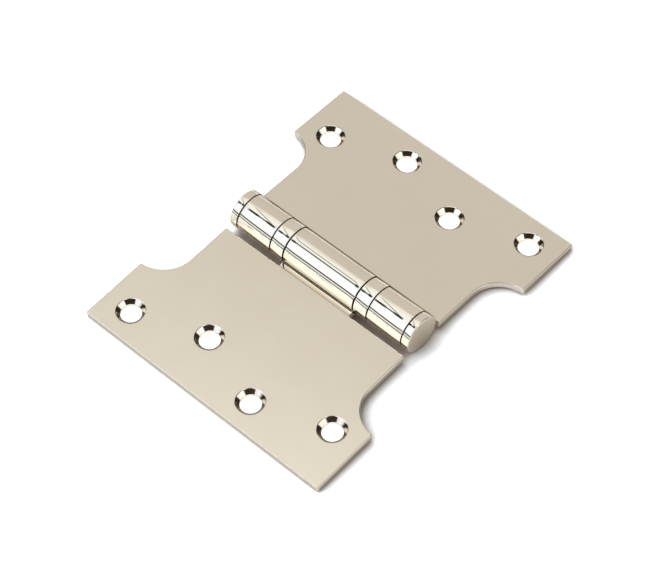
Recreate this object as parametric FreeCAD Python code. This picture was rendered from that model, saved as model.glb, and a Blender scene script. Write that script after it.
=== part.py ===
import FreeCAD, Part
import math
import os

from FreeCAD import Rotation, Vector

# Parliament hinge lying open on a flat surface, countersinks up, sizes in millimetres.
# +X runs along the pin, +Y points to the frame leaf, +Z is up.
# The origin is on the surface, under the middle of the barrel.

# Leaves, each measured in its own plane
hinge_length = 102.0
open_width = 127.0
leaf_thickness = 2.5
wing_depth = 25.9
shoulder_radius = 11.7
corner_radius = 0.6
edge_round = 0.35

# Screw holes, staggered in two rows on each leaf
hole_end_inset = 10.9
outer_row_inset = 9.8
inner_row_inset = 19.05
screw_hole_diameter = 7.2
countersink_diameter = 10.2
countersink_angle = 90.0
countersink_lip = 0.2

# Barrel, rolled from the sheet of the leaves and set back by a swage
barrel_diameter = 14.0
front_setback = 2.2
centre_knuckle_length = 30.6
notch_clearance = 1.8
front_fillet = 0.3
back_fillet = 2.2
web_overlap = 3.0
seam_width = 0.2
seam_angle = -68.0
barrel_break = 0.3

# Pin and end caps
pin_clearance = 0.05
pin_chamfer = 0.5
grip_interference = 0.01
grip_inset = 1.6
cap_length = 3.2
cap_setback = 0.1
cap_edge_radius = 0.3
spigot_length = 4.5
spigot_chamfer = 0.4

# Thrust ball bearing between two knuckles
bearing_width = 5.9
running_gap = 0.1
cup_wall = 0.4
cup_floor = 0.5
cover_thickness = 0.5
ball_diameter = 1.5
ball_count = 8
ball_play = 0.02
race_rim_clearance = 0.1
race_bore_clearance = 0.07
cage_thickness = 0.7
cage_clearance = 0.08
cage_pocket_clearance = 0.04

# How close a measured place must be to count as the same
same_place = 0.01

# Worked out from the values above
barrel_radius = barrel_diameter / 2
bore_radius = barrel_radius - leaf_thickness
pin_radius = bore_radius - pin_clearance
half_length = hinge_length / 2
half_width = open_width / 2
half_neck = half_length - shoulder_radius
notch_edge = barrel_radius + notch_clearance
hole_pitch = 2 * (half_length - hole_end_inset) / 3
back_setback = front_setback + leaf_thickness
bearing_start = centre_knuckle_length / 2
outer_start = bearing_start + bearing_width
cap_face = half_neck - cap_setback
outer_end = cap_face - cap_length
spigot_end = outer_end - spigot_length
cup_inner_radius = barrel_radius - cup_wall
race_outer_radius = cup_inner_radius - race_rim_clearance
race_inner_radius = pin_radius + race_bore_clearance
ball_radius = ball_diameter / 2
ball_circle_radius = (pin_radius + cup_inner_radius) / 2
race_space = bearing_width - cup_floor - cover_thickness
race_thickness = (race_space - ball_diameter - 2 * ball_play) / 2
ball_plane = bearing_start + cover_thickness + race_space / 2


def rest_tilt():
    """Angle, in degrees, by which each leaf slopes down from the barrel to its free edge."""
    reach = half_width - edge_round
    drop = back_setback - edge_round
    height = barrel_radius - edge_round
    return math.degrees(math.asin(height / math.hypot(reach, drop)) - math.atan2(drop, reach))


def revolved(points, start=0.0, sweep=360.0):
    """Solid turned about the pin axis from (x, radius) points, closed by its last edge."""
    corners = [Vector(x, radius, 0) for x, radius in points]
    face = Part.Face(Part.makePolygon(corners + corners[:1]))
    solid = face.revolve(Vector(0, 0, 0), Vector(1, 0, 0), sweep)
    solid.rotate(Vector(0, 0, 0), Vector(1, 0, 0), start)
    return solid


def rod(x_from, x_to, radius, chamfer=0.0):
    """Solid bar on the pin axis with chamfered ends."""
    outline = [
        (x_from, 0),
        (x_from, radius - chamfer),
        (x_from + chamfer, radius),
        (x_to - chamfer, radius),
        (x_to, radius - chamfer),
        (x_to, 0),
    ]
    if chamfer == 0:
        outline = [(x_from, 0), (x_from, radius), (x_to, radius), (x_to, 0)]
    return revolved(outline)


def ring(x_from, x_to, inner, outer):
    """Flat ring on the pin axis."""
    return revolved([(x_from, inner), (x_from, outer), (x_to, outer), (x_to, inner)])


def shoulder(side):
    """Concave quarter circle between a wing and the neck, from the wing's corner inward."""
    centre = Vector(side * half_length, half_width - wing_depth - shoulder_radius, 0)
    diagonal = shoulder_radius * math.sqrt(0.5)
    wing_point = centre + Vector(0, shoulder_radius, 0)
    middle = centre + Vector(-side * diagonal, diagonal, 0)
    neck_point = centre + Vector(-side * shoulder_radius, 0, 0)
    return wing_point, middle, neck_point


def plate():
    """Flat leaf blank with the parliament outline and softened edges, without knuckles."""
    right_wing, right_middle, right_neck = shoulder(1)
    left_wing, left_middle, left_neck = shoulder(-1)
    outer_right = Vector(half_length, half_width, 0)
    outer_left = Vector(-half_length, half_width, 0)
    inner_right = Vector(half_neck, notch_edge, 0)
    inner_left = Vector(-half_neck, notch_edge, 0)
    outline = Part.Wire([
        Part.makeLine(inner_right, right_neck),
        Part.Arc(right_neck, right_middle, right_wing).toShape(),
        Part.makeLine(right_wing, outer_right),
        Part.makeLine(outer_right, outer_left),
        Part.makeLine(outer_left, left_wing),
        Part.Arc(left_wing, left_middle, left_neck).toShape(),
        Part.makeLine(left_neck, inner_left),
        Part.makeLine(inner_left, inner_right),
    ])
    blank = Part.Face(outline).extrude(Vector(0, 0, leaf_thickness))
    blank.translate(Vector(0, 0, -back_setback))
    upright = [edge for edge in blank.Edges if is_upright(edge) and is_outer_corner(edge)]
    blank = blank.makeFillet(corner_radius, upright)
    rims = [edge for edge in blank.Edges if not is_upright(edge)]
    return blank.makeFillet(edge_round, rims)


def is_upright(edge):
    """True for an edge that runs through the thickness of the leaf."""
    return edge.BoundBox.ZLength > leaf_thickness / 2


def is_outer_corner(edge):
    """True for the sharp corners of the leaf, where its outline turns by a right angle."""
    place = edge.CenterOfMass
    on_end = abs(abs(place.x) - half_length) < corner_radius
    on_neck_end = abs(place.y - notch_edge) < corner_radius
    return on_end or on_neck_end


def screw_hole():
    """Cutting tool for one countersunk screw hole, its mouth at the leaf's front face."""
    bore = screw_hole_diameter / 2
    mouth = countersink_diameter / 2
    cone = mouth - countersink_lip
    slope = math.tan(math.radians(countersink_angle / 2))
    top = -front_setback
    cone_top = top - countersink_lip / 2
    cone_foot = cone_top - (cone - bore) / slope
    bottom = -back_setback
    profile = Part.makePolygon([
        Vector(0, 0, top + leaf_thickness),
        Vector(mouth, 0, top + leaf_thickness),
        Vector(mouth, 0, top),
        Vector(cone, 0, cone_top),
        Vector(bore, 0, cone_foot),
        Vector(bore, 0, bottom - leaf_thickness),
        Vector(0, 0, bottom - leaf_thickness),
        Vector(0, 0, top + leaf_thickness),
    ])
    return Part.Face(profile).revolve(Vector(0, 0, 0), Vector(0, 0, 1), 360)


def hole_places():
    """Centres of the four staggered holes of a leaf: (x, distance from the pin axis)."""
    places = []
    for index in range(4):
        inset = inner_row_inset if index % 2 == 0 else outer_row_inset
        places.append(((index - 1.5) * hole_pitch, half_width - inset))
    return places


def knuckle_arm(x_from, x_to):
    """Rolled knuckle with the swaged web that joins it to the leaf."""
    length = x_to - x_from
    barrel = rod(x_from, x_to, barrel_radius)
    web = Part.makeBox(
        length,
        notch_edge + web_overlap,
        leaf_thickness,
        Vector(x_from, 0, -back_setback),
    )
    arm = barrel.fuse(web).removeSplitter()
    arm = fillet_line(arm, -front_setback, front_fillet)
    arm = fillet_line(arm, -back_setback, back_fillet)
    for end, inward in ((x_from, 1), (x_to, -1)):
        arm = arm.cut(barrel_end_break(end, inward))
    arm = arm.cut(rod(x_from - length, x_to + length, bore_radius))
    return arm.cut(seam(x_from - length, 3 * length))


def fillet_line(arm, height, radius):
    """Rounds the inner corner where a face of the web, at this height, meets the barrel."""
    reach = math.sqrt(barrel_radius ** 2 - height ** 2)
    edges = []
    for edge in arm.Edges:
        place = edge.CenterOfMass
        along_pin = abs(edge.BoundBox.XLength - edge.Length) < same_place
        if along_pin and math.hypot(place.y - reach, place.z - height) < same_place:
            edges.append(edge)
    return arm.makeFillet(radius, edges)


def barrel_end_break(end, inward):
    """Tool that breaks the barrel's end edge all round, apart from the web's side."""
    step = inward * barrel_break
    tool = [
        (end - step, barrel_radius - 2 * barrel_break),
        (end + 2 * step, barrel_radius + barrel_break),
        (end - step, barrel_radius + barrel_break),
    ]
    front_reach = barrel_radius + front_fillet
    back_reach = barrel_radius + back_fillet
    start = math.degrees(math.asin((front_fillet - front_setback) / front_reach))
    stop = 360 - math.degrees(math.asin((back_setback + back_fillet) / back_reach))
    return revolved(tool, start, stop - start)


def seam(x_from, length):
    """Slit where the rolled edge of the sheet comes round to meet the leaf's back."""
    corner = Vector(x_from, bore_radius / 2, -seam_width / 2)
    slit = Part.makeBox(length, barrel_radius, seam_width, corner)
    slit.rotate(Vector(0, 0, 0), Vector(1, 0, 0), seam_angle)
    return slit


def leaf(knuckles):
    """One leaf with its rolled knuckles, lying along +Y with the pin axis as its origin."""
    body = plate()
    for x_from, x_to in knuckles:
        body = body.fuse(knuckle_arm(x_from, x_to))
    body = body.removeSplitter()
    for x, y in hole_places():
        tool = screw_hole()
        tool.translate(Vector(x, y, 0))
        body = body.cut(tool)
    return body


def frame_leaf():
    """Leaf with the two outer knuckles, sloping down along +Y."""
    body = leaf([(outer_start, outer_end), (-outer_end, -outer_start)])
    body.rotate(Vector(0, 0, 0), Vector(1, 0, 0), -rest_tilt())
    return body


def door_leaf():
    """Leaf with the centre knuckle, turned to the other side and sloping down along -Y."""
    body = leaf([(-bearing_start, bearing_start)])
    body.rotate(Vector(0, 0, 0), Vector(1, 0, 0), -rest_tilt())
    body.rotate(Vector(0, 0, 0), Vector(0, 0, 1), 180)
    return body


def pin():
    """Straight pin between the caps' spigots, with a swollen grip in the left outer knuckle."""
    shaft = rod(-spigot_end, spigot_end, pin_radius, pin_chamfer)
    grip_start = grip_inset - spigot_end
    grip_end = -outer_start - grip_inset
    grip = rod(grip_start, grip_end, bore_radius + grip_interference, pin_clearance)
    return shaft.fuse(grip).removeSplitter()


def end_cap():
    """Flat button cap on the right end, its spigot pressed into the outer knuckle's bore."""
    spigot_radius = bore_radius + grip_interference
    quarter = math.sqrt(0.5)
    rim_start = Vector(cap_face - cap_edge_radius, barrel_radius, 0)
    rim_end = Vector(cap_face, barrel_radius - cap_edge_radius, 0)
    rim_centre = Vector(cap_face - cap_edge_radius, barrel_radius - cap_edge_radius, 0)
    rim_middle = rim_centre + Vector(quarter, quarter, 0) * cap_edge_radius
    before_rim = [
        Vector(cap_face, 0, 0),
        Vector(spigot_end, 0, 0),
        Vector(spigot_end, spigot_radius - spigot_chamfer, 0),
        Vector(spigot_end + spigot_chamfer, spigot_radius, 0),
        Vector(outer_end, spigot_radius, 0),
        Vector(outer_end, barrel_radius - barrel_break, 0),
        Vector(outer_end + barrel_break, barrel_radius, 0),
        rim_start,
    ]
    outline = Part.Wire([
        Part.makePolygon(before_rim),
        Part.Arc(rim_start, rim_middle, rim_end).toShape(),
        Part.makeLine(rim_end, before_rim[0]),
    ])
    return Part.Face(outline).revolve(Vector(0, 0, 0), Vector(1, 0, 0), 360)


def bearing_cup():
    """Drawn cup whose polished wall shows between the knuckles; its floor lies on the outer one."""
    edge = barrel_break
    wall_start = bearing_start + running_gap
    return revolved([
        (outer_start, race_inner_radius),
        (outer_start, barrel_radius - edge),
        (outer_start - edge, barrel_radius),
        (wall_start + edge, barrel_radius),
        (wall_start, barrel_radius - edge),
        (wall_start, cup_inner_radius),
        (outer_start - cup_floor, cup_inner_radius),
        (outer_start - cup_floor, race_inner_radius),
    ])


def bearing_cover():
    """Flat washer that closes the cup and turns with the centre knuckle."""
    end = bearing_start + cover_thickness
    return ring(bearing_start, end, race_inner_radius, race_outer_radius)


def door_race():
    """Hardened flat race that turns with the centre knuckle."""
    start = bearing_start + cover_thickness
    return ring(start, start + race_thickness, race_inner_radius, race_outer_radius)


def frame_race():
    """Hardened flat race that stays with the outer knuckle."""
    end = outer_start - cup_floor
    return ring(end - race_thickness, end, race_inner_radius, race_outer_radius)


def ball_angles():
    """Angles of the balls round the pin axis, in degrees."""
    return [index * 360.0 / ball_count for index in range(ball_count)]


def ball_place(angle):
    """Centre of the ball at this angle."""
    turn = math.radians(angle)
    return Vector(ball_plane, ball_circle_radius * math.cos(turn), ball_circle_radius * math.sin(turn))


def cage():
    """Thin ring that keeps the balls apart, with one round pocket for each."""
    body = ring(
        ball_plane - cage_thickness / 2,
        ball_plane + cage_thickness / 2,
        pin_radius + cage_clearance,
        cup_inner_radius - cage_clearance,
    )
    for angle in ball_angles():
        mouth = ball_place(angle) - Vector(cage_thickness, 0, 0)
        pocket = Part.makeCylinder(
            ball_radius + cage_pocket_clearance,
            2 * cage_thickness,
            mouth,
            Vector(1, 0, 0),
        )
        body = body.cut(pocket)
    return body


def balls():
    """All the balls of one bearing."""
    return Part.makeCompound([Part.makeSphere(ball_radius, ball_place(angle)) for angle in ball_angles()])


def on_left(shape):
    """The same piece at the other end of the barrel, turned half a turn about the vertical."""
    turned = shape.copy()
    turned.rotate(Vector(0, 0, 0), Vector(0, 0, 1), 180)
    return turned


def pieces():
    """Every node's name and shape, with the pin axis at the origin."""
    shapes = {
        "frame_leaf": frame_leaf(),
        "door_leaf": door_leaf(),
        "pin": pin(),
    }
    paired = {
        "cap": end_cap(),
        "bearing_cup": bearing_cup(),
        "bearing_cover": bearing_cover(),
        "door_race": door_race(),
        "frame_race": frame_race(),
        "ball_cage": cage(),
        "balls": balls(),
    }
    for name, shape in paired.items():
        shapes["right_" + name] = shape
        shapes["left_" + name] = on_left(shape)
    return shapes


def main():
    os.makedirs("parts", exist_ok=True)
    for name, shape in pieces().items():
        shape.translate(Vector(0, 0, barrel_radius))
        shape.exportStep(os.path.join("parts", name + ".step"))


main()
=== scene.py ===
import math

import bmesh
import bpy
from bpy.props import FloatProperty, FloatVectorProperty, IntProperty, PointerProperty
from mathutils import Matrix, Vector


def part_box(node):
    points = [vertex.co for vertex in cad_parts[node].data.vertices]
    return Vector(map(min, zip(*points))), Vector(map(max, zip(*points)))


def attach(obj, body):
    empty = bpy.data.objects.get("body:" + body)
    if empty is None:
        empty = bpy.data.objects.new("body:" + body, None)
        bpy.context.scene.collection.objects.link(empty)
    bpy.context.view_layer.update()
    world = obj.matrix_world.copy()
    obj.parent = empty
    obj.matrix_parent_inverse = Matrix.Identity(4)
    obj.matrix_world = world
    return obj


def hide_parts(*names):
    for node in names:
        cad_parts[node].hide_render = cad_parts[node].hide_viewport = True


bl_info = {
    "name": "Parliament Hinge",
    "version": (1, 0, 0),
    "blender": (4, 5, 0),
    "location": "View3D > Sidebar > Hinge",
    "description": "Dresses a polished nickel parliament hinge and lights it on a pale table",
    "category": "Object",
}

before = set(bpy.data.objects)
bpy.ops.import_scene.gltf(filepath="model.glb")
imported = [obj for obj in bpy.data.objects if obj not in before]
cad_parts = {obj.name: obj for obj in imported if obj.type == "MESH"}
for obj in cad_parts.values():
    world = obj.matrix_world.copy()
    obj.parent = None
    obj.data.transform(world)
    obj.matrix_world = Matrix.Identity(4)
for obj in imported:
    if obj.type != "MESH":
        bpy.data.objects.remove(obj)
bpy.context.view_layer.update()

# Lengths are in metres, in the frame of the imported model: +X along the pin, +Z up.
MM = 0.001
SIDES = ("left", "right")


def low(node):
    """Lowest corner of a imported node."""
    return Vector(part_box(node)[0])


def high(node):
    """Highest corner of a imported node."""
    return Vector(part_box(node)[1])


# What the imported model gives
BARREL_RADIUS = (high("right_bearing_cup").z - low("right_bearing_cup").z) / 2
AXIS_HEIGHT = (high("right_bearing_cup").z + low("right_bearing_cup").z) / 2
CENTRE_END = low("right_bearing_cup").x
OUTER_START = high("right_bearing_cup").x
CAP_FACE = high("right_cap").x
PIN_END = high("pin").x
GRIP_RADIUS = (high("pin").z - low("pin").z) / 2

# What it doesn't give, as the part's source has it: length of a cap outside its knuckle, and of the plain
# stretches of the pin before and after its grip
CAP_LENGTH = 3.2 * MM
GRIP_INSET = 1.6 * MM
OUTER_END = CAP_FACE - CAP_LENGTH


# Sizes and colours that a user would change


class NickelSettings(bpy.types.PropertyGroup):
    """Polished nickel plate of the leaves and the barrel."""

    colour: FloatVectorProperty(
        name="Nickel",
        description="Colour that the plate gives to what it mirrors",
        subtype="COLOR",
        size=3,
        min=0.0,
        max=1.0,
        default=(0.596, 0.541, 0.451),
    )
    rubbed_colour: FloatVectorProperty(
        name="Rubbed nickel",
        description="Paler colour where the buffing wheel and hands have rubbed harder",
        subtype="COLOR",
        size=3,
        min=0.0,
        max=1.0,
        default=(0.690, 0.640, 0.550),
    )
    # Painted shade: a near-black colour laid into the narrow hollows between the knuckles, cups and leaves,
    # where shade falls
    joint_colour: FloatVectorProperty(
        name="Joint residue",
        description="Dark polishing residue in the joints between the knuckles",
        subtype="COLOR",
        size=3,
        min=0.0,
        max=1.0,
        default=(0.016, 0.013, 0.009),
    )
    leaf_roughness: FloatProperty(
        name="Leaf roughness",
        description="Roughness of the flat faces",
        subtype="FACTOR",
        min=0.0,
        max=1.0,
        default=0.10,
    )
    barrel_roughness: FloatProperty(
        name="Barrel roughness",
        description="Roughness of the knuckles, caps and bearing cups",
        subtype="FACTOR",
        min=0.0,
        max=1.0,
        default=0.05,
    )
    wave_depth: FloatProperty(
        name="Buffing waves",
        description="Height of the soft waves that buffing leaves in the polished metal",
        unit="LENGTH",
        default=0.0012 * MM,
        precision=7,
    )
    roll_off: FloatProperty(
        name="Roll-off",
        description="Slope that the buffing wheel leaves at the ends of each barrel piece",
        subtype="ANGLE",
        default=math.radians(8.6),
    )


class BearingSettings(bpy.types.PropertyGroup):
    """Metals inside the barrel."""

    steel: FloatVectorProperty(
        name="Ground steel",
        description="Colour of the races, the cover washers and the pin",
        subtype="COLOR",
        size=3,
        min=0.0,
        max=1.0,
        default=(0.56, 0.57, 0.58),
    )
    ball_steel: FloatVectorProperty(
        name="Ball steel",
        description="Colour of the bearing balls",
        subtype="COLOR",
        size=3,
        min=0.0,
        max=1.0,
        default=(0.66, 0.67, 0.69),
    )
    brass: FloatVectorProperty(
        name="Cage brass",
        description="Colour of the ball cages",
        subtype="COLOR",
        size=3,
        min=0.0,
        max=1.0,
        default=(0.68, 0.48, 0.20),
    )
    tarnish: FloatVectorProperty(
        name="Tarnish",
        description="Colour of the thin brown film on the brass",
        subtype="COLOR",
        size=3,
        min=0.0,
        max=1.0,
        default=(0.33, 0.19, 0.07),
    )


class PinSettings(bpy.types.PropertyGroup):
    """Straight pin with a knurled grip."""

    teeth: IntProperty(
        name="Knurl teeth",
        description="Number of teeth round the grip",
        min=8,
        max=60,
        default=30,
    )
    tooth_depth: FloatProperty(
        name="Tooth depth",
        description="Depth of the knurl under the bore that it grips",
        unit="LENGTH",
        default=0.18 * MM,
        precision=6,
    )
    clearance: FloatProperty(
        name="Running clearance",
        description="Radial gap between the shaft and the grip's own radius",
        unit="LENGTH",
        default=0.06 * MM,
        precision=6,
    )
    tip_bevel: FloatProperty(
        name="Tip bevel",
        description="Rounded edge at each end of the pin",
        unit="LENGTH",
        default=0.5 * MM,
        precision=6,
    )


class StageSettings(bpy.types.PropertyGroup):
    """Table, studio light and camera."""

    table_colour: FloatVectorProperty(
        name="Table",
        description="Colour of the pale table",
        subtype="COLOR",
        size=3,
        min=0.0,
        max=1.0,
        default=(0.8, 0.8, 0.8),
    )
    table_size: FloatProperty(
        name="Table size",
        description="Length of the square table's sides",
        unit="LENGTH",
        default=3.0,
    )
    table_front: FloatProperty(
        name="Table front",
        description="How far the table reaches in front of the hinge, before the dark room",
        unit="LENGTH",
        default=0.3,
    )
    shadow_reach: FloatProperty(
        name="Shadow reach",
        description="How far from the hinge its contact shadow is looked for",
        unit="LENGTH",
        default=10 * MM,
    )
    camera_azimuth: FloatProperty(
        name="Camera azimuth",
        description="Angle of the camera round the vertical, from the front towards +X",
        subtype="ANGLE",
        default=math.radians(42.5375),
    )
    camera_elevation: FloatProperty(
        name="Camera elevation",
        description="Angle of the camera above the table",
        subtype="ANGLE",
        default=math.radians(54.1132),
    )
    camera_roll: FloatProperty(
        name="Camera roll",
        description="Turn of the camera about its line of sight",
        subtype="ANGLE",
        default=math.radians(-0.8523),
    )
    camera_distance: FloatProperty(
        name="Camera distance",
        description="Distance from the camera to the point that it looks at",
        unit="LENGTH",
        default=0.80883,
    )
    camera_target: FloatVectorProperty(
        name="Camera target",
        description="Point that the camera looks at",
        subtype="TRANSLATION",
        unit="LENGTH",
        size=3,
        default=(0.006683, -0.006889, 0.007),
    )
    lens: FloatProperty(
        name="Lens",
        description="Focal length on a 36 mm wide sensor",
        unit="CAMERA",
        default=134.29,
    )


# Node helpers


def add(tree, kind, **values):
    """Node of this kind, with its input sockets set by name."""
    node = tree.nodes.new(kind)
    for name, value in values.items():
        node.inputs[name.replace("_", " ")].default_value = value
    return node


def feed(tree, value, socket):
    """Links an output to a socket, or writes a plain value into it."""
    if isinstance(value, bpy.types.NodeSocket):
        tree.links.new(value, socket)
    else:
        socket.default_value = value


def used_output(node):
    """The one output that a node has in its present mode."""
    return next(socket for socket in node.outputs if socket.enabled)


def maths(tree, operation, *operands, clamp=False):
    """Result of a math node whose operands are sockets or numbers."""
    node = tree.nodes.new("ShaderNodeMath")
    node.operation = operation
    node.use_clamp = clamp
    for operand, socket in zip(operands, node.inputs):
        feed(tree, operand, socket)
    return node.outputs[0]


def product(tree, value, *factors):
    """Value multiplied by each factor in turn."""
    for factor in factors:
        value = maths(tree, "MULTIPLY", value, factor)
    return value


def vector_maths(tree, operation, first, second):
    """Result of a vector math node: a vector, or a number for a dot product."""
    node = tree.nodes.new("ShaderNodeVectorMath")
    node.operation = operation
    feed(tree, first, node.inputs[0])
    feed(tree, second, node.inputs[1])
    return used_output(node)


def spread(tree, value, from_low, from_high, to_low=0.0, to_high=1.0, smooth=True):
    """Value carried from one range to another and held at its ends."""
    node = tree.nodes.new("ShaderNodeMapRange")
    node.interpolation_type = "SMOOTHSTEP" if smooth else "LINEAR"
    for number, socket in zip((value, from_low, from_high, to_low, to_high), node.inputs):
        feed(tree, number, socket)
    return node.outputs["Result"]


def blend(tree, factor, first, second, kind="RGBA"):
    """Mix of two colours, two vectors or two numbers."""
    node = tree.nodes.new("ShaderNodeMix")
    node.data_type = kind
    sockets = [socket for socket in node.inputs if socket.enabled]
    for value, socket in zip((factor, first, second), sockets):
        feed(tree, (*value, 1.0) if isinstance(value, (tuple, list)) else value, socket)
    return used_output(node)


def ramp(tree, factor, stops):
    """Colour ramp with (position, level) stops, level a number or a colour."""
    node = tree.nodes.new("ShaderNodeValToRGB")
    elements = node.color_ramp.elements
    while len(elements) > 1:
        elements.remove(elements[-1])
    for index, (position, level) in enumerate(stops):
        element = elements[0] if index == 0 else elements.new(position)
        element.position = position
        colour = (level, level, level) if isinstance(level, (int, float)) else level
        element.color = (*colour, 1.0)
    feed(tree, factor, node.inputs["Fac"])
    return node.outputs["Color"]


def split(tree, vector):
    """X, Y and Z of a vector."""
    parts = tree.nodes.new("ShaderNodeSeparateXYZ")
    feed(tree, vector, parts.inputs[0])
    return tuple(parts.outputs)


def stretched(tree, vector, times):
    """Vector squeezed along the pin, so that a texture on it comes out this many times longer there."""
    squeeze = add(tree, "ShaderNodeCombineXYZ", Y=1.0, Z=1.0)
    feed(tree, maths(tree, "DIVIDE", 1.0, times), squeeze.inputs["X"])
    return vector_maths(tree, "MULTIPLY", vector, squeeze.outputs[0])


def noise(tree, vector, size, **values):
    """Noise from 0 to 1, with features of this size."""
    texture = add(tree, "ShaderNodeTexNoise", **values)
    feed(tree, vector, texture.inputs["Vector"])
    feed(tree, maths(tree, "DIVIDE", 1.0, size), texture.inputs["Scale"])
    return texture.outputs["Fac"]


def centred(tree, level):
    """Noise moved to run evenly above and below zero."""
    return maths(tree, "SUBTRACT", level, 0.5)


def effect_group(name, inputs, outputs):
    """Empty node group with number and vector inputs, and its two end nodes."""
    group = bpy.data.node_groups.new(name, "ShaderNodeTree")
    for label, default in inputs.items():
        kind = "NodeSocketVector" if default is None else "NodeSocketFloat"
        socket = group.interface.new_socket(name=label, in_out="INPUT", socket_type=kind)
        if default is not None:
            socket.default_value = default
    for label in outputs:
        group.interface.new_socket(name=label, in_out="OUTPUT", socket_type="NodeSocketFloat")
    return group, group.nodes.new("NodeGroupInput"), group.nodes.new("NodeGroupOutput")


def effect(tree, builder, **values):
    """Places an effect in a material; the group is built the first time."""
    group = bpy.data.node_groups.get(builder.__name__) or builder()
    node = tree.nodes.new("ShaderNodeGroup")
    node.node_tree = group
    for name, value in values.items():
        feed(tree, value, node.inputs[name.replace("_", " ")])
    return node


# Effects that several materials share


# Levels of noise from which something begins to show, and at which it shows in full
CLEAR_LINES = (0.60, 0.78)
CLEAR_LINE_PATCHES = (0.45, 0.65)
HAZE_PATCHES = (0.35, 0.68)
CLEAR_RINGS = (0.5, 0.75)
# Fineness of the patches in which hairlines are clear, in patches per metre
LINE_PATCH_SCALE = 90.0
# Shares of open surroundings at which an edge or a hollow begins to show, and shows in full; for an edge
# they are looked for inside the metal, and a hollow shows as painted shade
EDGE_OPENNESS, EDGE_SAMPLES = (0.95, 0.55), 6
HOLLOW_OPENNESS, HOLLOW_SAMPLES = (0.92, 0.74), 12


def buffing_waves():
    """Soft waves that a buffing wheel leaves, longest along the pin."""
    group, start, end = effect_group(
        "buffing_waves", {"Vector": None, "Length": 6 * MM, "Stretch": 3.0}, ["Height"]
    )
    vector = stretched(group, start.outputs["Vector"], start.outputs["Stretch"])
    waves = noise(group, vector, start.outputs["Length"], Detail=1.0, Roughness=0.4)
    feed(group, centred(group, waves), end.inputs["Height"])
    return group


def polish_lines():
    """Fine straight hairlines of the last polish, a few of them clear and most almost gone."""
    group, start, end = effect_group(
        "polish_lines", {"Vector": None, "Spacing": 0.25 * MM, "Stretch": 60.0}, ["Height", "Mask"]
    )
    vector = stretched(group, start.outputs["Vector"], start.outputs["Stretch"])
    lines = noise(group, vector, start.outputs["Spacing"], Detail=2.0, Roughness=0.6)
    patches = add(group, "ShaderNodeTexNoise", Scale=LINE_PATCH_SCALE, Detail=1.0)
    feed(group, start.outputs["Vector"], patches.inputs["Vector"])
    clear_lines = spread(group, lines, *CLEAR_LINES)
    clear_patches = spread(group, patches.outputs["Fac"], *CLEAR_LINE_PATCHES)
    feed(group, product(group, clear_lines, clear_patches), end.inputs["Mask"])
    feed(group, centred(group, lines), end.inputs["Height"])
    return group


def handling_haze():
    """Large soft patches where fingers and cloths have dulled the polish a little."""
    group, start, end = effect_group("handling_haze", {"Vector": None, "Patch": 25 * MM}, ["Mask"])
    patches = noise(
        group, start.outputs["Vector"], start.outputs["Patch"],
        Detail=3.0, Roughness=0.55, Distortion=0.6,
    )
    feed(group, spread(group, patches, *HAZE_PATCHES), end.inputs["Mask"])
    return group


def edge_rub():
    """Thin band along outer edges, where the wheel cuts hardest and wear shows first."""
    group, start, end = effect_group("edge_rub", {"Width": 0.5 * MM}, ["Mask"])
    inside = group.nodes.new("ShaderNodeAmbientOcclusion")
    inside.inside = True
    inside.only_local = True
    inside.samples = EDGE_SAMPLES
    feed(group, start.outputs["Width"], inside.inputs["Distance"])
    feed(group, spread(group, inside.outputs["AO"], *EDGE_OPENNESS), end.inputs["Mask"])
    return group


def joint_shade_mask():
    """Narrow hollows between two pieces, where shade is painted into the colour."""
    group, start, end = effect_group("joint_shade_mask", {"Reach": 0.8 * MM}, ["Mask"])
    around = group.nodes.new("ShaderNodeAmbientOcclusion")
    around.samples = HOLLOW_SAMPLES
    feed(group, start.outputs["Reach"], around.inputs["Distance"])
    feed(group, spread(group, around.outputs["AO"], *HOLLOW_OPENNESS), end.inputs["Mask"])
    return group


def turned_lines():
    """Fine rings round the pin axis, as turning and grinding leave them."""
    group, start, end = effect_group(
        "turned_lines", {"Vector": None, "Spacing": 0.12 * MM}, ["Height", "Mask", "Distance from axis"]
    )
    along, across, height = split(group, start.outputs["Vector"])
    rise = maths(group, "SUBTRACT", height, AXIS_HEIGHT)
    squares = maths(group, "ADD", maths(group, "POWER", across, 2.0), maths(group, "POWER", rise, 2.0))
    radius = maths(group, "SQRT", squares)
    place = group.nodes.new("ShaderNodeCombineXYZ")
    feed(group, along, place.inputs["X"])
    feed(group, radius, place.inputs["Y"])
    rings = noise(group, place.outputs[0], start.outputs["Spacing"], Detail=3.0, Roughness=0.65)
    feed(group, centred(group, rings), end.inputs["Height"])
    feed(group, spread(group, rings, *CLEAR_RINGS), end.inputs["Mask"])
    feed(group, radius, end.inputs["Distance from axis"])
    return group


def end_roll_off():
    """Fall of a polished tube towards its two ends, given as places along the pin."""
    inputs = {"Place": 0.0, "Start": 0.0, "End": 1.0, "Width": 3 * MM, "Slope": 0.1}
    group, start, end = effect_group("end_roll_off", inputs, ["Height"])
    from_start = maths(group, "SUBTRACT", start.outputs["Place"], start.outputs["Start"])
    from_end = maths(group, "SUBTRACT", start.outputs["End"], start.outputs["Place"])
    nearest = maths(group, "MINIMUM", from_start, from_end)
    share = maths(group, "DIVIDE", nearest, start.outputs["Width"], clamp=True)
    fall = maths(group, "POWER", maths(group, "SUBTRACT", 1.0, share), 2.0)
    depth = product(group, start.outputs["Slope"], start.outputs["Width"], 0.5)
    feed(group, product(group, fall, depth, -1.0), end.inputs["Height"])
    return group


# Materials


# Grazing tints; polished nickel's is darker than a bare mirror's white
NICKEL_EDGE = (0.50, 0.46, 0.41)
STEEL_EDGE = (0.7, 0.7, 0.7)
BRASS_EDGE = (0.8, 0.7, 0.5)
# Nickel: size of its paler patches, and how far patches and edges go towards the rubbed colour
PALE_PATCH, PALE_SHARE, RUB_SHARE = 18 * MM, 0.10, 0.30
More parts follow.
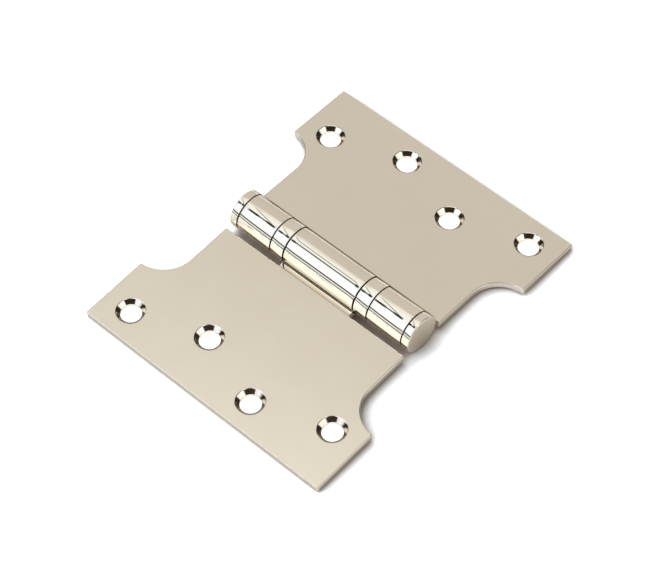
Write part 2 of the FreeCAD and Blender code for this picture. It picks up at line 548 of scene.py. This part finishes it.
# Nickel: size of its duller patches, and the roughness that haze, lines and the painted joint shade add
DULL_PATCH, HAZE_ROUGHNESS, LINE_ROUGHNESS, JOINT_SHADE_ROUGHNESS = 9 * MM, 0.03, 0.05, 0.3
# Nickel: distances from the axis between which a leaf turns into barrel, and its painted joint shade sets
# in
BARREL_SURFACE = (BARREL_RADIUS * 1.10, BARREL_RADIUS * 1.02)
JOINT_SHADE_ZONE = (BARREL_RADIUS * 1.25, BARREL_RADIUS * 1.12)
# Nickel: depth of hairlines and of lathe rings as shares of the waves', and spacing of the rings
HAIRLINE_SHARE, RING_SHARE, RING_SPACING = 0.04, 0.03, 0.2 * MM
# Nickel: how far from its ends the centre knuckle begins to fall
CENTRE_FALL = 3 * MM
# Ground steel: its bright edges, its darker patches and its grinding rings
STEEL_RUB_WIDTH, STEEL_RUB_SHARE, STEEL_RUB_COLOUR = 0.2 * MM, 0.4, (0.8, 0.8, 0.82)
STEEL_PATCH, STEEL_PATCH_TONE, STEEL_PATCH_SHARE = 4 * MM, 0.8, 0.5
STEEL_ROUGHNESS, STEEL_RING_ROUGHNESS, STEEL_RING_DEPTH = 0.22, 0.15, 0.0006 * MM
# Lapped steel of the balls: its darker patches and its faint waves
BALL_PATCH, BALL_PATCH_TONE = 1 * MM, 0.9
BALL_ROUGHNESS, BALL_PATCH_ROUGHNESS = 0.06, 0.05
BALL_WAVE_LENGTH, BALL_WAVE_DEPTH = 0.5 * MM, 0.0001 * MM
# Brass of the cages: its bare edges, its tarnished patches and its fine rings
CAGE_RUB_WIDTH, CAGE_PATCH, TARNISH_SHARE = 0.15 * MM, 3 * MM, 0.6
CAGE_ROUGHNESS, CAGE_PATCH_ROUGHNESS = 0.28, 0.15
CAGE_RING_SPACING, CAGE_RING_DEPTH = 0.2 * MM, 0.001 * MM


def new_material(name):
    """Empty node material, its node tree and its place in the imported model's frame."""
    material = bpy.data.materials.new(name)
    material.use_nodes = True
    tree = material.node_tree
    tree.nodes.clear()
    return material, tree, tree.nodes.new("ShaderNodeTexCoord").outputs["Object"]


def bumped(tree, height, normal=None):
    """Normal of a surface with this relief, laid over another normal if there is one."""
    bump = add(tree, "ShaderNodeBump", Strength=1.0, Distance=1.0)
    feed(tree, height, bump.inputs["Height"])
    if normal:
        feed(tree, normal, bump.inputs["Normal"])
    return bump.outputs["Normal"]


def metal(tree, colour, roughness, normal, edge_tint):
    """Metal surface whose colour, roughness and normal come from the effects."""
    surface = add(tree, "ShaderNodeBsdfPrincipled", Metallic=1.0, Specular_Tint=(*edge_tint, 1.0))
    feed(tree, colour, surface.inputs["Base Color"])
    feed(tree, roughness, surface.inputs["Roughness"])
    feed(tree, normal, surface.inputs["Normal"])
    output = tree.nodes.new("ShaderNodeOutputMaterial")
    feed(tree, surface.outputs[0], output.inputs["Surface"])


def nickel_colour(tree, settings, place, joint_shade, rub):
    """Nickel with faint patches, rubbed edges and painted shade in the joints."""
    rubbed = tuple(settings.rubbed_colour)
    patches = effect(tree, handling_haze, Vector=place, Patch=PALE_PATCH).outputs["Mask"]
    plate = blend(tree, product(tree, patches, PALE_SHARE), tuple(settings.colour), rubbed)
    edged = blend(tree, product(tree, rub, RUB_SHARE), plate, rubbed)
    return blend(tree, joint_shade, edged, tuple(settings.joint_colour))


def nickel_roughness(tree, base, place, lines, joint_shade):
    """Polish that is a little duller in hazy patches and along fine lines."""
    haze = effect(tree, handling_haze, Vector=place, Patch=DULL_PATCH).outputs["Mask"]
    hazy = maths(tree, "ADD", product(tree, haze, HAZE_ROUGHNESS), base)
    lined = maths(tree, "ADD", product(tree, lines, LINE_ROUGHNESS), hazy)
    return maths(tree, "ADD", product(tree, joint_shade, JOINT_SHADE_ROUGHNESS), lined)


def crowned(tree, place, settings, piece_start, piece_end, width):
    """Roll-off of a barrel piece that reaches from one distance to another from the hinge's middle."""
    along = maths(tree, "ABSOLUTE", split(tree, place)[0])
    fall = effect(
        tree, end_roll_off, Place=along, Start=piece_start, End=piece_end, Width=width,
        Slope=math.tan(settings.roll_off),
    )
    return fall.outputs["Height"]


def leaf_nickel(settings, knuckle_start, knuckle_end, fall_width):
    """Plate of one leaf: smooth flats, mirror-bright knuckles that roll off at their ends."""
    material, tree, place = new_material("leaf_nickel")
    from_axis = effect(tree, turned_lines, Vector=place).outputs["Distance from axis"]
    on_barrel = spread(tree, from_axis, *BARREL_SURFACE)
    rub = effect(tree, edge_rub).outputs["Mask"]
    # Painted shade in the hollows between the pieces, kept close to the barrel
    by_barrel = spread(tree, from_axis, *JOINT_SHADE_ZONE)
    joint_shade = product(tree, effect(tree, joint_shade_mask).outputs["Mask"], by_barrel)
    lines = effect(tree, polish_lines, Vector=place)
    smooth = blend(tree, on_barrel, settings.leaf_roughness, settings.barrel_roughness, "FLOAT")
    roughness = nickel_roughness(tree, smooth, place, lines.outputs["Mask"], joint_shade)
    colour = nickel_colour(tree, settings, place, joint_shade, rub)
    crown = crowned(tree, place, settings, knuckle_start, knuckle_end, fall_width)
    waves = effect(tree, buffing_waves, Vector=place)
    wavy = product(tree, waves.outputs["Height"], settings.wave_depth)
    hairs = product(tree, lines.outputs["Height"], settings.wave_depth * HAIRLINE_SHARE)
    flat = bumped(tree, maths(tree, "ADD", wavy, hairs))
    normal = blend(tree, on_barrel, flat, bumped(tree, crown, flat), "VECTOR")
    metal(tree, colour, roughness, normal, NICKEL_EDGE)
    return material


def barrel_nickel(settings, piece_start, piece_end):
    """Plate of the caps and bearing cups, polished on the lathe."""
    material, tree, place = new_material("barrel_nickel")
    rub = effect(tree, edge_rub).outputs["Mask"]
    # Painted shade in the hollows between the pieces
    joint_shade = effect(tree, joint_shade_mask).outputs["Mask"]
    turned = effect(tree, turned_lines, Vector=place, Spacing=RING_SPACING)
    roughness = nickel_roughness(tree, settings.barrel_roughness, place, turned.outputs["Mask"], joint_shade)
    colour = nickel_colour(tree, settings, place, joint_shade, rub)
    waves = effect(tree, buffing_waves, Vector=place, Stretch=1.0)
    wavy = product(tree, waves.outputs["Height"], settings.wave_depth)
    rings = product(tree, turned.outputs["Height"], settings.wave_depth * RING_SHARE)
    crown = crowned(tree, place, settings, piece_start, piece_end, (piece_end - piece_start) / 2)
    normal = bumped(tree, crown, bumped(tree, maths(tree, "ADD", wavy, rings)))
    metal(tree, colour, roughness, normal, NICKEL_EDGE)
    return material


def ground_steel(settings):
    """Hardened steel ground in rings round the pin axis."""
    material, tree, place = new_material("ground_steel")
    turned = effect(tree, turned_lines, Vector=place)
    rub = effect(tree, edge_rub, Width=STEEL_RUB_WIDTH).outputs["Mask"]
    patches = effect(tree, handling_haze, Vector=place, Patch=STEEL_PATCH).outputs["Mask"]
    dark = tuple(STEEL_PATCH_TONE * part for part in settings.steel)
    colour = blend(tree, product(tree, patches, STEEL_PATCH_SHARE), tuple(settings.steel), dark)
    colour = blend(tree, product(tree, rub, STEEL_RUB_SHARE), colour, STEEL_RUB_COLOUR)
    ringed = product(tree, turned.outputs["Mask"], STEEL_RING_ROUGHNESS)
    height = product(tree, turned.outputs["Height"], STEEL_RING_DEPTH)
    metal(tree, colour, maths(tree, "ADD", ringed, STEEL_ROUGHNESS), bumped(tree, height), STEEL_EDGE)
    return material


def polished_steel(settings):
    """Lapped steel of the balls."""
    material, tree, place = new_material("polished_steel")
    patches = effect(tree, handling_haze, Vector=place, Patch=BALL_PATCH).outputs["Mask"]
    dark = tuple(BALL_PATCH_TONE * part for part in settings.ball_steel)
    colour = blend(tree, patches, tuple(settings.ball_steel), dark)
    roughness = maths(tree, "ADD", product(tree, patches, BALL_PATCH_ROUGHNESS), BALL_ROUGHNESS)
    waves = effect(tree, buffing_waves, Vector=place, Length=BALL_WAVE_LENGTH, Stretch=1.0)
    height = product(tree, waves.outputs["Height"], BALL_WAVE_DEPTH)
    metal(tree, colour, roughness, bumped(tree, height), STEEL_EDGE)
    return material


def cage_brass(settings):
    """Pressed brass, tarnished away from its edges."""
    material, tree, place = new_material("cage_brass")
    turned = effect(tree, turned_lines, Vector=place, Spacing=CAGE_RING_SPACING)
    rub = effect(tree, edge_rub, Width=CAGE_RUB_WIDTH).outputs["Mask"]
    patches = effect(tree, handling_haze, Vector=place, Patch=CAGE_PATCH).outputs["Mask"]
    film = product(tree, patches, maths(tree, "SUBTRACT", 1.0, rub), TARNISH_SHARE)
    colour = blend(tree, film, tuple(settings.brass), tuple(settings.tarnish))
    roughness = maths(tree, "ADD", product(tree, patches, CAGE_PATCH_ROUGHNESS), CAGE_ROUGHNESS)
    height = product(tree, turned.outputs["Height"], CAGE_RING_DEPTH)
    metal(tree, colour, roughness, bumped(tree, height), BRASS_EDGE)
    return material


def dress(node, material):
    """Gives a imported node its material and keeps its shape."""
    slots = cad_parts[node].data.materials
    slots.clear()
    slots.append(material)


# Pin


# Length of the taper at each end of the knurl
KNURL_LEAD = 0.4 * MM
# Faces in the rounding of a tip, and how near to the pin's end a corner counts as lying on it
TIP_STEPS, ON_THE_END = 4, 0.01 * MM
# Angle between faces above which an edge stays sharp
SHARP_ABOVE = math.radians(25)


def carry_face(shape, face, place, radii):
    """Extrudes an end face of a turned bar to a new place, its rim at these radii in turn."""
    grown = bmesh.ops.extrude_face_region(shape, geom=[face])
    bmesh.ops.delete(shape, geom=[face], context="FACES_ONLY")
    face = next(item for item in grown["geom"] if isinstance(item, bmesh.types.BMFace))
    rim = [loop.vert for loop in face.loops]
    angles = [abs(math.atan2(vertex.co.z - AXIS_HEIGHT, vertex.co.y)) for vertex in rim]
    first = angles.index(min(angles))
    for index, vertex in enumerate(rim[first:] + rim[:first]):
        radius = radii[index % len(radii)]
        spoke = Vector((0.0, vertex.co.y, vertex.co.z - AXIS_HEIGHT)).normalized() * radius
        vertex.co = (place, spoke.y, spoke.z + AXIS_HEIGHT)
    return face


def knurled_pin(settings):
    """Pin with rounded tips and a straight knurl in the left outer knuckle."""
    shaft = GRIP_RADIUS - settings.clearance
    smooth_rim = (shaft, shaft)
    toothed_rim = (GRIP_RADIUS, GRIP_RADIUS - settings.tooth_depth)
    grip_start = GRIP_INSET - PIN_END
    grip_end = -OUTER_START - GRIP_INSET
    shape = bmesh.new()
    turn = Matrix.Translation((-PIN_END, 0.0, AXIS_HEIGHT)) @ Matrix.Rotation(math.pi / 2, 4, "Y")
    bmesh.ops.create_circle(shape, cap_ends=True, segments=2 * settings.teeth, radius=shaft, matrix=turn)
    shape.faces.ensure_lookup_table()
    grown = bmesh.ops.extrude_face_region(shape, geom=[shape.faces[0]])
    face = next(item for item in grown["geom"] if isinstance(item, bmesh.types.BMFace))
    bmesh.ops.translate(shape, verts=list(face.verts), vec=(grip_start + PIN_END, 0.0, 0.0))
    for place, radii in (
        (grip_start + KNURL_LEAD, toothed_rim),
        (grip_end - KNURL_LEAD, toothed_rim),
        (grip_end, smooth_rim),
        (PIN_END, smooth_rim),
    ):
        face = carry_face(shape, face, place, radii)
    end_corners = {vertex for vertex in shape.verts if abs(abs(vertex.co.x) - PIN_END) < ON_THE_END}
    bmesh.ops.bevel(
        shape, geom=[edge for edge in shape.edges if end_corners.issuperset(edge.verts)],
        offset=settings.tip_bevel, affect="EDGES", segments=TIP_STEPS, profile=0.5, material=-1,
        clamp_overlap=True,
    )
    bmesh.ops.recalc_face_normals(shape, faces=shape.faces)
    return shape


def finish_piece(name, shape, material):
    """Object made of a bmesh, smooth but for its sharper edges."""
    mesh = bpy.data.meshes.new(name)
    shape.to_mesh(mesh)
    shape.free()
    mesh.shade_smooth()
    mesh.set_sharp_from_angle(angle=SHARP_ABOVE)
    mesh.materials.append(material)
    piece = bpy.data.objects.new(name, mesh)
    bpy.context.scene.collection.objects.link(piece)
    return piece


# Stage


WHITE = (1.0, 1.0, 1.0)
# The contact shadow is looked for more towards -X and -Y, so it falls towards +X and +Y
SHADOW_LEAN = Vector((-0.27, -0.34, 0.90)).normalized()
SHADOW_SAMPLES = 16
TABLE_ROUGHNESS = 0.6
# Table at shares of open surroundings: its painted shadow tint, and its glow to the camera and to the metal
# with painted shadow in it
SHADOW_TINTS = ((0.0, (0.72, 0.60, 0.46)), (0.35, (0.64, 0.54, 0.44)), (0.8, WHITE))
SEEN_GLOW_AND_SHADOW = ((0.0, 0.0), (0.4, 0.0), (0.7, 0.4), (0.92, 1.0))
MIRRORED_GLOW_AND_SHADOW = ((0.0, 0.10), (0.35, 0.28), (0.7, 0.45), (1.0, 0.62))
# Two strips of table under the screw holes, which keep no painted shadow: their edges across the pin, their
# end along it
STRIP_INNER_EDGE, STRIP_OUTER_EDGE = (37 * MM, 39 * MM), (61 * MM, 60 * MM)
STRIP_END = (49 * MM, 47 * MM)
# Painted light and shade of the table as the metal mirrors it under the screw holes: a glow brighter than
# white from above, painted shadow at a glance, and the turn between the two
UNDER_HOLES_GLOW, UNDER_HOLES_GLANCE_SHADE = (1.2, 1.2, 1.2), (0.06, 0.05, 0.04)
GLANCE = (0.30, 0.50)


def table_material(settings):
    """White table that stays bright to the camera, with the hinge's contact shadow painted into its colour
    and its glow.
    """
    material, tree, place = new_material("pale_table")
    around = tree.nodes.new("ShaderNodeAmbientOcclusion")
    around.samples = SHADOW_SAMPLES
    around.inputs["Distance"].default_value = settings.shadow_reach
    lean = add(tree, "ShaderNodeCombineXYZ", X=SHADOW_LEAN.x, Y=SHADOW_LEAN.y, Z=SHADOW_LEAN.z)
    feed(tree, lean.outputs[0], around.inputs["Normal"])
    openness = around.outputs["AO"]
    along, across = (maths(tree, "ABSOLUTE", part) for part in split(tree, place)[:2])
    screw_strip = product(
        tree, spread(tree, along, *STRIP_END),
        product(tree, spread(tree, across, *STRIP_INNER_EDGE), spread(tree, across, *STRIP_OUTER_EDGE)),
    )
    colour = tuple(settings.table_colour)
    # Painted contact shadow in the table's colour
    shade = ramp(tree, openness, [
        (share, tuple(part * amount for part, amount in zip(colour, tint)))
        for share, tint in SHADOW_TINTS
    ])
    paper = add(tree, "ShaderNodeBsdfPrincipled", Roughness=TABLE_ROUGHNESS)
    feed(tree, blend(tree, screw_strip, shade, colour), paper.inputs["Base Color"])
    rays = tree.nodes.new("ShaderNodeLightPath")
    glossy, clear = rays.outputs["Is Glossy Ray"], rays.outputs["Is Transmission Ray"]
    mirrored_ray = maths(tree, "MAXIMUM", glossy, clear)
    # Painted contact shadow in the glow that the camera sees
    seen = blend(tree, screw_strip, ramp(tree, openness, SEEN_GLOW_AND_SHADOW), WHITE)
    # Painted reflection under the screw holes: the metal sees the table glow brighter than white from above
    # and dark at a glance
    glance = spread(tree, add(tree, "ShaderNodeLayerWeight", Blend=0.5).outputs["Facing"], *GLANCE)
    under_holes = blend(tree, glance, UNDER_HOLES_GLOW, UNDER_HOLES_GLANCE_SHADE)
    mirrored = blend(tree, screw_strip, ramp(tree, openness, MIRRORED_GLOW_AND_SHADOW), under_holes)
    glow = tree.nodes.new("ShaderNodeEmission")
    feed(tree, blend(tree, mirrored_ray, seen, mirrored), glow.inputs["Color"])
    seen_ray = maths(tree, "MAXIMUM", rays.outputs["Is Camera Ray"], mirrored_ray)
    feed(tree, seen_ray, glow.inputs["Strength"])
    lit_paper = tree.nodes.new("ShaderNodeAddShader")
    feed(tree, paper.outputs[0], lit_paper.inputs[0])
    feed(tree, glow.outputs[0], lit_paper.inputs[1])
    output = tree.nodes.new("ShaderNodeOutputMaterial")
    feed(tree, lit_paper.outputs[0], output.inputs["Surface"])
    return material


def build_table(settings):
    """Flat table under the hinge."""
    shape = bmesh.new()
    middle = Matrix.Translation((0.0, settings.table_size / 2 - settings.table_front, 0.0))
    bmesh.ops.create_grid(shape, x_segments=1, y_segments=1, size=settings.table_size / 2, matrix=middle)
    table = finish_piece("table", shape, table_material(settings))


# Places in the room are directions from the hinge: degrees round the pin, up from the +Y horizon and over
# to -Y; reach along the pin, from -1 at -X to 1 at +X; or height, from 0 at the table to 1 straight above.
# Studio walls round the pin, and the level there
LOW_WALL = (0.99, 0.965, 0.925)
WHITE_BOX = (1.66, 1.82, 2.15)
WALLS = (
    (0, LOW_WALL),
    (60, LOW_WALL),
    (66, (1.04, 1.02, 0.98)),
    (70, (1.14, 1.14, 1.12)),
    (77, (1.34, 1.37, 1.38)),
    (85, (1.55, 1.64, 1.69)),
    (96, (1.55, 1.66, 1.76)),
    (105, (1.55, 1.66, 1.76)),
    (113, WHITE_BOX),
    (160.5, WHITE_BOX),
    (161.5, 0.01),
    (167.5, 0.01),
    (168.5, (1.40, 1.45, 1.50)),
    (176.5, (1.40, 1.45, 1.50)),
    (177.5, 0.03),
    (180, 0.03),
)
# The same walls as a second reflection sees them
LATER_WALLS = (
    (0, (4.1, 4.2, 4.7)),
    (6, (4.6, 4.9, 5.5)),
    (14, (3.9, 4.1, 4.7)),
    (22, (1.4, 1.5, 1.7)),
    (30, (0.38, 0.41, 0.46)),
    (38, (0.15, 0.16, 0.18)),
    (79, (0.15, 0.15, 0.15)),
    (87, (0.61, 0.62, 0.62)),
    (95, (2.1, 2.15, 2.2)),
    (103, (3.1, 3.3, 3.6)),
    (111, (2.65, 2.8, 3.1)),
    (119, (2.05, 2.2, 2.45)),
    (127, (2.35, 2.5, 2.8)),
    (135, (3.3, 3.4, 3.7)),
    (151, (3.8, 4.0, 4.5)),
    (159, (4.1, 4.6, 5.7)),
    (167, (4.5, 5.6, 7.0)),
    (176, (4.6, 5.7, 7.2)),
    (178, 0.4),
    (180, 0.3),
)
# A reflection in the metal counts two steps at the walls, a reflection of a reflection three
SECOND_REFLECTION = 2.5
# Glow above the low wall, and how it grows towards +X
WALL_GLOW = ((65.5, 0.0), (68.2, 0.3), (69.2, 0.6), (70, 1.2), (73, 1.2), (79, 0.0))
GLOW_FROM, GLOW_TO, GLOW_LEVEL = -0.47, -0.33, 0.24
# Bright panel at the +X end, low over the +Y side
END_PANEL = ((18, 0.0), (26, 1.0), (88, 1.0), (95, 0.0))
END_PANEL_FROM, END_PANEL_TO, END_PANEL_LEVEL = 0.64, 0.70, 0.8
# Where the boxes end at the -X end
BOX_END, BOX_EDGE = -0.68, 0.03
# Where later reflections fall dark at the +X end and, in a patch overhead, in the countersinks; how dark
LATER_END, LATER_EDGE = -0.07, 0.06
LATER_TOP = ((73, 0.0), (77, 1.0), (101, 1.0), (106, 0.0))
LATER_TOP_START, LATER_TOP_END = -0.27, -0.19
LATER_DARK = 0.85
# Dark stand of a level bar with a waist, and a fainter bar that leans over from +Y to meet it at the +X
# end; a bar's two widths are the degrees from its middle line at which it begins to show, and shows in full
STAND_COLOUR = (0.05, 0.047, 0.04)
STAND_START, STAND_END = -0.63, -0.18
STAND_START_EDGE, STAND_END_EDGE = 0.03, 0.015
LEVEL_BAR_PLACE, LEVEL_BAR_WIDTHS = 110.7, (4.1, 2.4)
WAIST_PLACE, WAIST_REACH, WAIST_DEPTH = -0.40, (0.04, 0.10), 2.5
LEANING_BAR_SLOPE, LEANING_BAR_WIDTHS, LEANING_BAR_LEVEL = 72.7, (3.0, 1.4), 0.8
LEANING_BAR_START = (-0.60, -0.52)
# Dark gap in the walls that the sides of the grooves mirror
SIDE_GAP = ((0, 1.0), (80, 1.0), (92, 0.0))
GAP_START, GAP_END, GAP_EDGE = -0.12, 0.70, 0.05
# Plain low wall: degrees round the vertical from +X towards +Y, how plain it is there, and its heights
PLAIN_WALL = (
    (-180, 1.0),
    (-174, 1.0),
    (-168, 0.0),
    (-102, 0.0),
    (-94, 1.0),
    (8, 1.0),
    (17, 0.0),
    (80, 0.0),
    (84, 1.0),
    (180, 1.0),
)
PLAIN_WALL_FOOT, PLAIN_WALL_TOP = (0.09, 0.13), (0.44, 0.38)
# What lies in front of and below the table
DARK_FLOOR = (0.03, 0.03, 0.03)
# Dark opening in which the camera stands
OPENING_DIRECTION = Vector((0.53, -0.58, 0.62)).normalized()
OPENING_COLOUR = (0.044, 0.031, 0.021)
OPENING_HALF_ANGLE = math.radians(31)
OPENING_EDGE = math.radians(3)


def round_pin(stops):
    """Ramp stops from degrees round the pin, 0 to 180."""
    return [(angle / 180, level) for angle, level in stops]


def round_vertical(stops):
    """Ramp stops from degrees round the vertical, -180 to 180."""
    return [((angle + 180) / 360, level) for angle, level in stops]


def add_light(tree, colour, level, amount):
    """Colour with a grey level, times an amount, laid over it."""
    return vector_maths(tree, "ADD", colour, product(tree, level, amount))


def stand_mask(tree, turn, along):
    """How much of the dark stand lies in a direction."""
    from_level = maths(tree, "SUBTRACT", product(tree, turn, 180), LEVEL_BAR_PLACE)
    from_waist = maths(tree, "ABSOLUTE", maths(tree, "SUBTRACT", along, WAIST_PLACE))
    thicker = spread(tree, from_waist, *WAIST_REACH, 0.0, WAIST_DEPTH)
    from_edge = maths(tree, "SUBTRACT", maths(tree, "ABSOLUTE", from_level), thicker)
    level_bar = spread(tree, from_edge, *LEVEL_BAR_WIDTHS)
    lean = product(tree, maths(tree, "SUBTRACT", along, STAND_END), LEANING_BAR_SLOPE)
    from_leaning = maths(tree, "ABSOLUTE", maths(tree, "SUBTRACT", from_level, lean))
    leaning_bar = product(
        tree, spread(tree, from_leaning, *LEANING_BAR_WIDTHS, 0.0, LEANING_BAR_LEVEL),
        spread(tree, along, *LEANING_BAR_START),
    )
    reach = product(
        tree, spread(tree, along, STAND_START - STAND_START_EDGE, STAND_START + STAND_START_EDGE),
        spread(tree, along, STAND_END + STAND_END_EDGE, STAND_END - STAND_END_EDGE),
    )
    return product(tree, maths(tree, "MAXIMUM", level_bar, leaning_bar), reach)


def first_walls(tree, turn, along):
    """Walls as the metal mirrors them directly, with the stand, the gap and the end of the boxes."""
    walls = ramp(tree, turn, round_pin(WALLS))
    walls = blend(tree, stand_mask(tree, turn, along), walls, STAND_COLOUR)
    reach = product(
        tree, spread(tree, along, GAP_START, GAP_START + GAP_EDGE),
        spread(tree, along, GAP_END, GAP_END - GAP_EDGE),
    )
    gap = product(tree, ramp(tree, turn, round_pin(SIDE_GAP)), reach)
    boxes_end = spread(tree, along, BOX_END + BOX_EDGE, BOX_END - BOX_EDGE)
    return blend(tree, boxes_end, blend(tree, gap, walls, DARK_FLOOR), OPENING_COLOUR)


def later_walls(tree, turn, along):
    """Walls as a reflection of a reflection shows them."""
    end = spread(tree, along, LATER_END - LATER_EDGE, LATER_END + LATER_EDGE, 0.0, LATER_DARK)
    overhead = product(
        tree, ramp(tree, turn, round_pin(LATER_TOP)),
        spread(tree, along, LATER_TOP_START, LATER_TOP_END, 0.0, LATER_DARK),
    )
    walls = ramp(tree, turn, round_pin(LATER_WALLS))
    return blend(tree, maths(tree, "MAXIMUM", end, overhead), walls, OPENING_COLOUR)


def outside_opening(tree, direction):
    """How far a direction lies outside the camera's opening."""
    facing = vector_maths(tree, "DOT_PRODUCT", direction, tuple(OPENING_DIRECTION))
    edge = math.cos(OPENING_HALF_ANGLE + OPENING_EDGE)
    return spread(tree, facing, edge, math.cos(OPENING_HALF_ANGLE), 1.0, 0.0)


def plain_mask(tree, along, across, height, later):
    """How much of the plain low wall lies in a direction; only first reflections see it."""
    compass = maths(tree, "DIVIDE", maths(tree, "ARCTAN2", across, along), 2 * math.pi)
    plain = ramp(tree, maths(tree, "ADD", compass, 0.5), round_vertical(PLAIN_WALL))
    under_top = spread(tree, height, *PLAIN_WALL_TOP)
    over_foot = spread(tree, height, *PLAIN_WALL_FOOT)
    return product(tree, plain, under_top, over_foot, maths(tree, "SUBTRACT", 1.0, later))


def studio_world():
    """White room to the camera; soft boxes and their dark gaps to the metal."""
    world = bpy.data.worlds.new("studio")
    bpy.context.scene.world = world
    world.use_nodes = True
    tree = world.node_tree
    tree.nodes.clear()
    direction = tree.nodes.new("ShaderNodeTexCoord").outputs["Generated"]
    along, across, height = split(tree, direction)
    turn = maths(tree, "DIVIDE", maths(tree, "ARCTAN2", height, across), math.pi)
    rays = tree.nodes.new("ShaderNodeLightPath")
    later = maths(tree, "GREATER_THAN", rays.outputs["Ray Depth"], SECOND_REFLECTION)
    walls = blend(tree, later, first_walls(tree, turn, along), later_walls(tree, turn, along))
    growth = spread(tree, along, GLOW_FROM, GLOW_TO, smooth=False)
    glow = product(tree, ramp(tree, turn, round_pin(WALL_GLOW)), growth)
    walls = add_light(tree, walls, glow, GLOW_LEVEL)
    panel_reach = spread(tree, along, END_PANEL_FROM, END_PANEL_TO)
    panel = product(tree, ramp(tree, turn, round_pin(END_PANEL)), panel_reach)
    walls = add_light(tree, walls, panel, END_PANEL_LEVEL)
    walls = blend(tree, outside_opening(tree, direction), OPENING_COLOUR, walls)
    walls = blend(tree, plain_mask(tree, along, across, height, later), walls, LOW_WALL)
    above_floor = maths(tree, "GREATER_THAN", height, 0.0)
    room = blend(tree, above_floor, DARK_FLOOR, walls)
    background = tree.nodes.new("ShaderNodeBackground")
    feed(tree, blend(tree, rays.outputs["Is Camera Ray"], room, WHITE), background.inputs["Color"])
    output = tree.nodes.new("ShaderNodeOutputWorld")
    feed(tree, background.outputs[0], output.inputs["Surface"])


# Width of the camera's sensor in millimetres, and the nearest distance that it sees
SENSOR_WIDTH = 36.0
NEAREST_SEEN = 10 * MM


def build_camera(settings):
    """Camera at the photograph's viewing angle."""
    data = bpy.data.cameras.new("camera")
    data.sensor_width = SENSOR_WIDTH
    data.lens = settings.lens
    data.clip_start = NEAREST_SEEN
    camera = bpy.data.objects.new("camera", data)
    bpy.context.scene.collection.objects.link(camera)
    turn = (
        Matrix.Rotation(settings.camera_azimuth, 4, "Z")
        @ Matrix.Rotation(math.pi / 2 - settings.camera_elevation, 4, "X")
        @ Matrix.Rotation(settings.camera_roll, 4, "Z")
    )
    back = turn @ Vector((0.0, 0.0, settings.camera_distance))
    camera.matrix_world = Matrix.Translation(Vector(settings.camera_target) + back) @ turn
    bpy.context.scene.camera = camera


# Operators


class HINGE_OT_leaves(bpy.types.Operator):
    """Dress both leaves, with their rolled knuckles, in polished nickel"""

    bl_idname = "hinge.leaves"
    bl_label = "Leaves"

    def execute(self, context):
        nickel = context.scene.hinge_nickel
        dress("frame_leaf", leaf_nickel(nickel, OUTER_START, OUTER_END, (OUTER_END - OUTER_START) / 2))
        dress("door_leaf", leaf_nickel(nickel, -CENTRE_END, CENTRE_END, CENTRE_FALL))
        return {"FINISHED"}


class HINGE_OT_barrel(bpy.types.Operator):
    """Dress the end caps and the bearing cups in polished nickel"""

    bl_idname = "hinge.barrel"
    bl_label = "Caps and bearing cups"

    def execute(self, context):
        nickel = context.scene.hinge_nickel
        cap = barrel_nickel(nickel, OUTER_END, CAP_FACE)
        cup = barrel_nickel(nickel, CENTRE_END, OUTER_START)
        for side in SIDES:
            dress(side + "_cap", cap)
            dress(side + "_bearing_cup", cup)
        return {"FINISHED"}


class HINGE_OT_pin(bpy.types.Operator):
    """Make the pin with its knurled grip"""

    bl_idname = "hinge.pin"
    bl_label = "Knurled pin"

    def execute(self, context):
        material = ground_steel(context.scene.hinge_bearing)
        piece = finish_piece("knurled_pin", knurled_pin(context.scene.hinge_pin), material)
        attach(piece, "frame")
        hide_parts("pin")
        return {"FINISHED"}


class HINGE_OT_bearings(bpy.types.Operator):
    """Dress the cover washers, races, ball cages and balls"""

    bl_idname = "hinge.bearings"
    bl_label = "Ball bearings"

    def execute(self, context):
        settings = context.scene.hinge_bearing
        steel = ground_steel(settings)
        balls = polished_steel(settings)
        brass = cage_brass(settings)
        for side in SIDES:
            dress(side + "_bearing_cover", steel)
            dress(side + "_door_race", steel)
            dress(side + "_frame_race", steel)
            dress(side + "_ball_cage", brass)
            dress(side + "_balls", balls)
        return {"FINISHED"}


class HINGE_OT_stage(bpy.types.Operator):
    """Set up the table, the studio light and the camera"""

    bl_idname = "hinge.stage"
    bl_label = "Table, light and camera"

    def execute(self, context):
        context.scene.view_settings.view_transform = "Standard"
        settings = context.scene.hinge_stage
        build_table(settings)
        studio_world()
        build_camera(settings)
        return {"FINISHED"}


class HINGE_PT_parts(bpy.types.Panel):
    """Lists the settings and the steps that dress the hinge"""

    bl_idname = "HINGE_PT_parts"
    bl_label = "Parliament hinge"
    bl_space_type = "VIEW_3D"
    bl_region_type = "UI"
    bl_category = "Hinge"

    def draw(self, context):
        for settings in (
            context.scene.hinge_nickel,
            context.scene.hinge_bearing,
            context.scene.hinge_pin,
            context.scene.hinge_stage,
        ):
            column = self.layout.column()
            for name in settings.__annotations__:
                column.prop(settings, name)
        for step in STEPS:
            self.layout.operator(step.bl_idname)


SETTINGS = {
    "hinge_nickel": NickelSettings,
    "hinge_bearing": BearingSettings,
    "hinge_pin": PinSettings,
    "hinge_stage": StageSettings,
}
STEPS = (HINGE_OT_leaves, HINGE_OT_barrel, HINGE_OT_pin, HINGE_OT_bearings, HINGE_OT_stage)


def register():
    """Adds the settings, the steps and the panel to Blender."""
    for name, group in SETTINGS.items():
        bpy.utils.register_class(group)
        setattr(bpy.types.Scene, name, PointerProperty(type=group))
    for step in STEPS:
        bpy.utils.register_class(step)
    bpy.utils.register_class(HINGE_PT_parts)


def unregister():
    """Takes them away again."""
    bpy.utils.unregister_class(HINGE_PT_parts)
    for step in reversed(STEPS):
        bpy.utils.unregister_class(step)
    for name, group in SETTINGS.items():
        delattr(bpy.types.Scene, name)
        bpy.utils.unregister_class(group)


def main():
    """Runs the steps."""
    register()
    bpy.ops.hinge.leaves()
    bpy.ops.hinge.barrel()
    bpy.ops.hinge.pin()
    bpy.ops.hinge.bearings()
    bpy.ops.hinge.stage()


if __name__ == "__main__":
    main()
